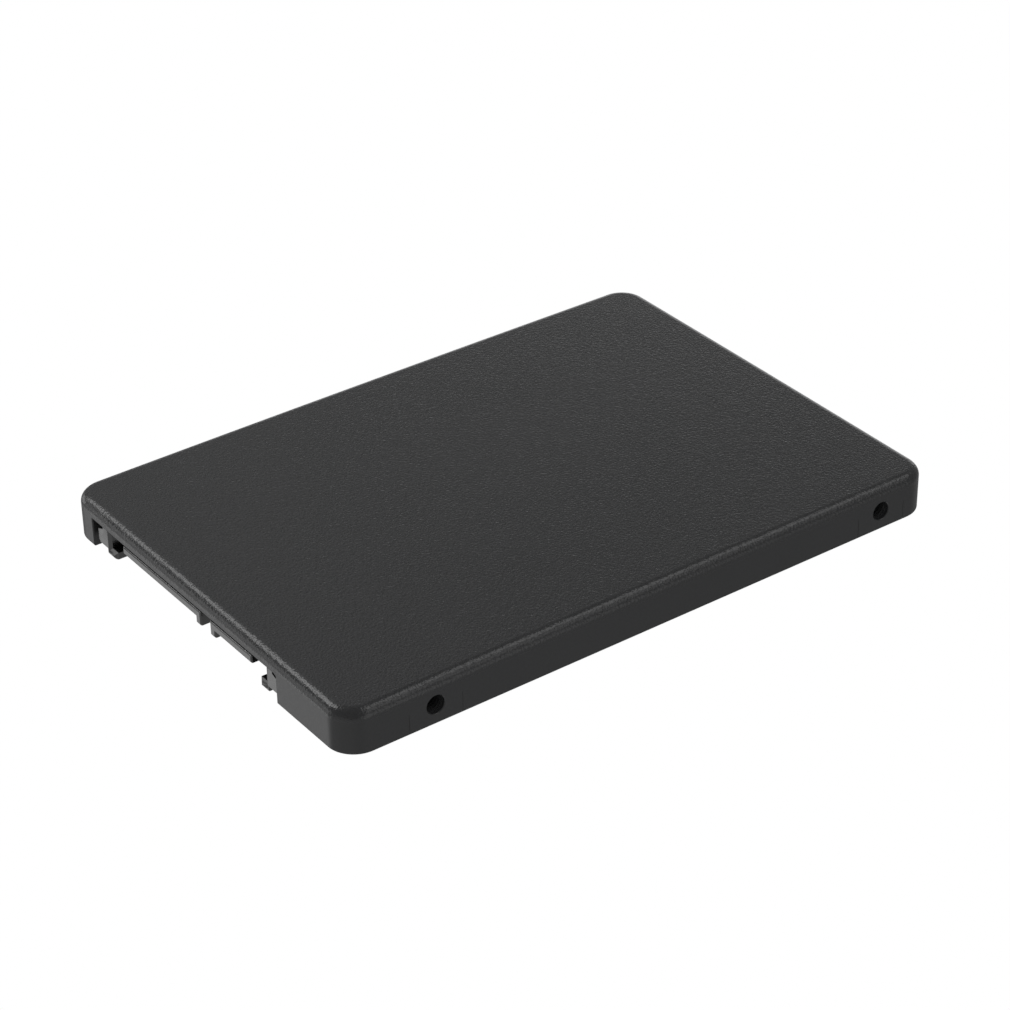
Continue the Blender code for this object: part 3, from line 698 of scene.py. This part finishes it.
def tongue(name, x_range, key_side):
    """A flat tongue with a key below its end on one side, and round edges at its front."""
    near, far = x_range if key_side < 0 else reversed(x_range)
    inside = near - key_side * KEY_WIDTH
    outline = (
        (near, KEY_BOTTOM),
        (near, TONGUE_TOP),
        (far, TONGUE_TOP),
        (far, TONGUE_BOTTOM),
        (inside, TONGUE_BOTTOM),
        (inside, KEY_BOTTOM),
    )
    made = front_prism(name, outline, (TONGUE_FRONT, BASE_FRONT + INTO_BASE))
    work = bmesh.new()
    work.from_mesh(made.data)
    front = [e for e in work.edges if max(vert.co.y for vert in e.verts) < TONGUE_FRONT + WELD]
    bmesh.ops.bevel(work, geom=front, offset=TONGUE_ROUND, segments=6, profile=0.5, affect="EDGES")
    work.to_mesh(made.data)
    work.free()
    return bevelled(made)


def lead_in(side):
    """Cutters for an arm's front bevels: round its inner corner, and at the end of its foot."""
    reach = ARM_INNER - FOOT_INNER
    flare, wedge = [], []
    for step in (-1, 2):  # the bevels run from step 0, inside, to step 1 at the arm's front
        y = ARM_FRONT + (1 - step) * LEAD_DEPTH
        widen = step * LEAD_WIDTH
        for distance in (FOOT_INNER - reach, ARM_INNER + widen):
            x = PLUG_CENTRE + side * distance
            flare += [(x, y, FOOT_TOP - widen), (x, y, ARM_TOP + reach)]
        for distance in (FOOT_INNER - reach, FOOT_INNER + widen):
            x = PLUG_CENTRE + side * distance
            wedge += [(x, y, FOOT_BOTTOM - reach), (x, y, FOOT_TOP + reach)]
    return [hull("flare", flare), hull("wedge", wedge)]


def guide_arm(name, side):
    """An upright web with a cut-down shoulder, and a foot that points at the tongues."""
    outer, inner = PLUG_CENTRE + side * ARM_OUTER, PLUG_CENTRE + side * ARM_INNER
    shoulder = outer - side * SHOULDER_WIDTH
    outline = (
        (inner, WEB_BOTTOM),
        (inner, ARM_TOP),
        (shoulder, ARM_TOP),
        (shoulder, ARM_TOP - SHOULDER_STEP),
        (outer, ARM_TOP - SHOULDER_DROP),
        (outer, WEB_BOTTOM + ARM_HEEL),
        (outer - side * ARM_HEEL, WEB_BOTTOM),
    )
    arm = bevelled(front_prism(name, outline, (ARM_FRONT, BASE_FRONT + INTO_BASE)))
    foot = (
        (FOOT_BACK, FOOT_BOTTOM),
        (FOOT_BACK, FOOT_TOP),
        (ARM_FRONT, FOOT_TOP),
        (ARM_FRONT, FOOT_BOTTOM + FOOT_HEEL),
        (ARM_FRONT + FOOT_HEEL, FOOT_BOTTOM),
    )
    ends = [PLUG_CENTRE + side * distance for distance in (FOOT_INNER, FOOT_OUTER)]
    boolean(arm, "UNION", [bevelled(side_prism(name + "_foot", foot, ends))])
    return boolean(arm, "DIFFERENCE", lead_in(side))


def contact_channels():
    """One channel for each contact, along its tongue's underside and back through the base."""
    channels = []
    for low, high in (*contact_boxes("power"), *contact_boxes("signal")):
        start = low - Vector((CONTACT_FIT, CONTACT_FIT, CONTACT_FIT))
        top = low.z + CONTACT_THICKNESS + CONTACT_FIT
        channels.append(block("channel", start, (high.x + CONTACT_FIT, PLUG_HIGH.y + PAST, top)))
    return channels


def connector_housing():
    """The plug's one moulding: its base, two tongues and two guide arms, with the contacts' channels."""
    base_low = (PLUG_LOW.x, BASE_FRONT, BASE_BOTTOM)
    housing = bevelled(block("plug_housing", base_low, PLUG_HIGH))
    power, signal = contact_range("power"), contact_range("signal")
    power = (power[0], power[1] + KEY_WIDTH)
    signal = (signal[0] - KEY_WIDTH, signal[1])
    parts = [tongue("power_tongue", power, 1), tongue("signal_tongue", signal, -1)]
    parts += [guide_arm("left_arm", -1), guide_arm("right_arm", 1)]
    boolean(housing, "UNION", parts)
    boolean(housing, "DIFFERENCE", contact_channels())
    clean(housing, PLUG_SHARP)
    finish_piece(housing, SURFACES["plug_plastic"], "connector_housing")


connector_housing()


# ---------------------------------------------------------------- the CAD's own pieces

EDGE_ROUNDS = {  # by a part of the piece's name
    "bottom_cover": 0.12 * MM,
    "contact": 0.03 * MM,
    "chip": 0.06 * MM,
    "capacitor": 0.12 * MM,
    "inductor": 0.25 * MM,
    "board_lock": 0.05 * MM,
    "screw": 0.04 * MM,
    "pad": 0.10 * MM,
    "crystal": 0.15 * MM,
    "circuit_board": 0.04 * MM,
    "label": 0.02 * MM,
}


def smooth_shading():
    """A modifier's node group that shades every face smooth."""
    group = bpy.data.node_groups.new("smooth_shading", "GeometryNodeTree")
    group.interface.new_socket("Geometry", in_out="INPUT", socket_type="NodeSocketGeometry")
    group.interface.new_socket("Geometry", in_out="OUTPUT", socket_type="NodeSocketGeometry")
    start, end = group.nodes.new("NodeGroupInput"), group.nodes.new("NodeGroupOutput")
    shade = group.nodes.new("GeometryNodeSetShadeSmooth")
    group.links.new(start.outputs[0], shade.inputs["Geometry"])
    group.links.new(shade.outputs[0], end.inputs[0])
    return group


SMOOTH_SHADING = smooth_shading()


def soften(piece, width):
    """Rounds a solid's sharp edges and keeps its flat faces flat."""
    weld = piece.modifiers.new("weld", "WELD")
    weld.merge_threshold = WELD
    flats = piece.modifiers.new("flats", "DECIMATE")
    flats.decimate_type = "DISSOLVE"
    flats.angle_limit = math.radians(1)
    edges = piece.modifiers.new("edges", "BEVEL")
    edges.width = width
    edges.segments = 2
    edges.limit_method = "ANGLE"
    edges.angle_limit = math.radians(40)
    edges.use_clamp_overlap = True
    shading = piece.modifiers.new("shading", "NODES")
    shading.node_group = SMOOTH_SHADING
    normals = piece.modifiers.new("normals", "WEIGHTED_NORMAL")
    normals.keep_sharp = True


def dress_cad_pieces():
    """Gives the CAD's own pieces their materials and round edges. The two remade pieces are left out."""
    for entry in frame["record"]["subparts"]:
        name, slot = entry["node"], entry["material_slot"]
        if name in ("top_cover", "connector_housing"):
            continue
        piece = nodes[name]
        piece.data.materials.clear()
        piece.data.materials.append(SURFACES[slot])
        soften(piece, next(width for part, width in EDGE_ROUNDS.items() if part in name))


dress_cad_pieces()


# ---------------------------------------------------------------- studio

FLOOR_SIZE, FLOOR_DROP = 12.0, 0.02 * MM  # across, and how far the floor lies under the object

# The studio's soft light patches: azimuth and elevation in degrees, half width in degrees, strength.
# Azimuth 0 is towards +Y and 90 towards +X.
LIGHTS = (
    ("left_softbox", 245, 45, 14, 3.8),
    ("back_softbox", 20, 58, 13, 1.7),
    ("right_softbox", 60, 40, 13, 0.95),
    ("left_reflector", 250, 5, 15, 1.4),
    ("low_left", 218, 0, 15, 0.95),
    ("low_back", 315, 0, 20, 0.75),
    ("back_reflector", 285, 38, 14, 0.3),
    ("low_right", 75, 0, 20, 0.65),
    ("floor_left", 236, -31, 14, 0.78),
    ("floor_front", 165, -28, 35, 0.24),
    ("floor_right", 90, -28, 35, 0.15),
    ("floor_below", 0, -90, 25, 0.5),
)
AMBIENT = 0.26
SOFT_EDGE = (0.5, 1.35)  # where a patch starts and stops fading, as shares of its half width


def plain_white():
    """The floor's white: the same from everywhere above it, and nothing from below."""
    made = bpy.data.materials.new("floor_white")
    made.use_nodes = True
    tree = made.node_tree
    tree.nodes.clear()
    white = tree.nodes.new("ShaderNodeEmission")
    clear = tree.nodes.new("ShaderNodeBsdfTransparent")
    side = tree.nodes.new("ShaderNodeNewGeometry")
    mix = tree.nodes.new("ShaderNodeMixShader")
    out = tree.nodes.new("ShaderNodeOutputMaterial")
    tree.links.new(side.outputs["Backfacing"], mix.inputs["Fac"])
    tree.links.new(white.outputs[0], mix.inputs[1])
    tree.links.new(clear.outputs[0], mix.inputs[2])
    tree.links.new(mix.outputs[0], out.inputs["Surface"])
    return made


def add_floor():
    """A plain white floor for the camera. Its light on the object comes from the world's lower patches."""
    half = FLOOR_SIZE / 2
    corners = ((-half, -half), (half, -half), (half, half), (-half, half))
    mesh = bpy.data.meshes.new("floor")
    mesh.from_pydata(level(corners, -FLOOR_DROP), [], [(0, 1, 2, 3)])
    mesh.materials.append(plain_white())
    floor = new_piece("floor", mesh)
    floor.visible_diffuse = False
    floor.visible_glossy = False
    floor.visible_transmission = False
    floor.visible_shadow = False


def light_patch(tree, direction, azimuth, elevation, half_width, strength):
    """One soft round patch of the world: its brightness in a direction."""
    a, e = math.radians(azimuth), math.radians(elevation)
    nearness = tree.nodes.new("ShaderNodeVectorMath")
    nearness.operation = "DOT_PRODUCT"
    nearness.inputs[1].default_value = (math.sin(a) * math.cos(e), math.cos(a) * math.cos(e), math.sin(e))
    tree.links.new(direction, nearness.inputs[0])
    patch = tree.nodes.new("ShaderNodeMapRange")
    patch.interpolation_type = "SMOOTHSTEP"
    inner, outer = (math.cos(math.radians(half_width * share)) for share in SOFT_EDGE)
    patch.inputs["From Min"].default_value = outer
    patch.inputs["From Max"].default_value = inner
    patch.inputs["To Max"].default_value = strength
    tree.links.new(nearness.outputs["Value"], patch.inputs["Value"])
    return patch.outputs["Result"]


def add_light():
    """The studio round the object. Where the camera looks past the object, it is plain white."""
    world = bpy.data.worlds.new("studio")
    scene.world = world
    world.use_nodes = True
    tree = world.node_tree
    background = tree.nodes["Background"]
    background.inputs["Color"].default_value = (1, 1, 1, 1)
    direction = tree.nodes.new("ShaderNodeTexCoord").outputs["Generated"]
    total = None
    for _, *light in LIGHTS:
        both = tree.nodes.new("ShaderNodeMath")
        both.operation = "ADD"
        both.inputs[0].default_value = AMBIENT
        if total:
            tree.links.new(total, both.inputs[0])
        tree.links.new(light_patch(tree, direction, *light), both.inputs[1])
        total = both.outputs[0]
    seen = tree.nodes.new("ShaderNodeMix")  # its input 2 counts off the camera's rays, and 3 on them
    tree.links.new(tree.nodes.new("ShaderNodeLightPath").outputs["Is Camera Ray"], seen.inputs[0])
    tree.links.new(total, seen.inputs[2])
    seen.inputs[3].default_value = 1.0
    tree.links.new(seen.outputs[0], background.inputs["Strength"])
    scene.view_settings.view_transform = "Standard"


add_floor()
add_light()
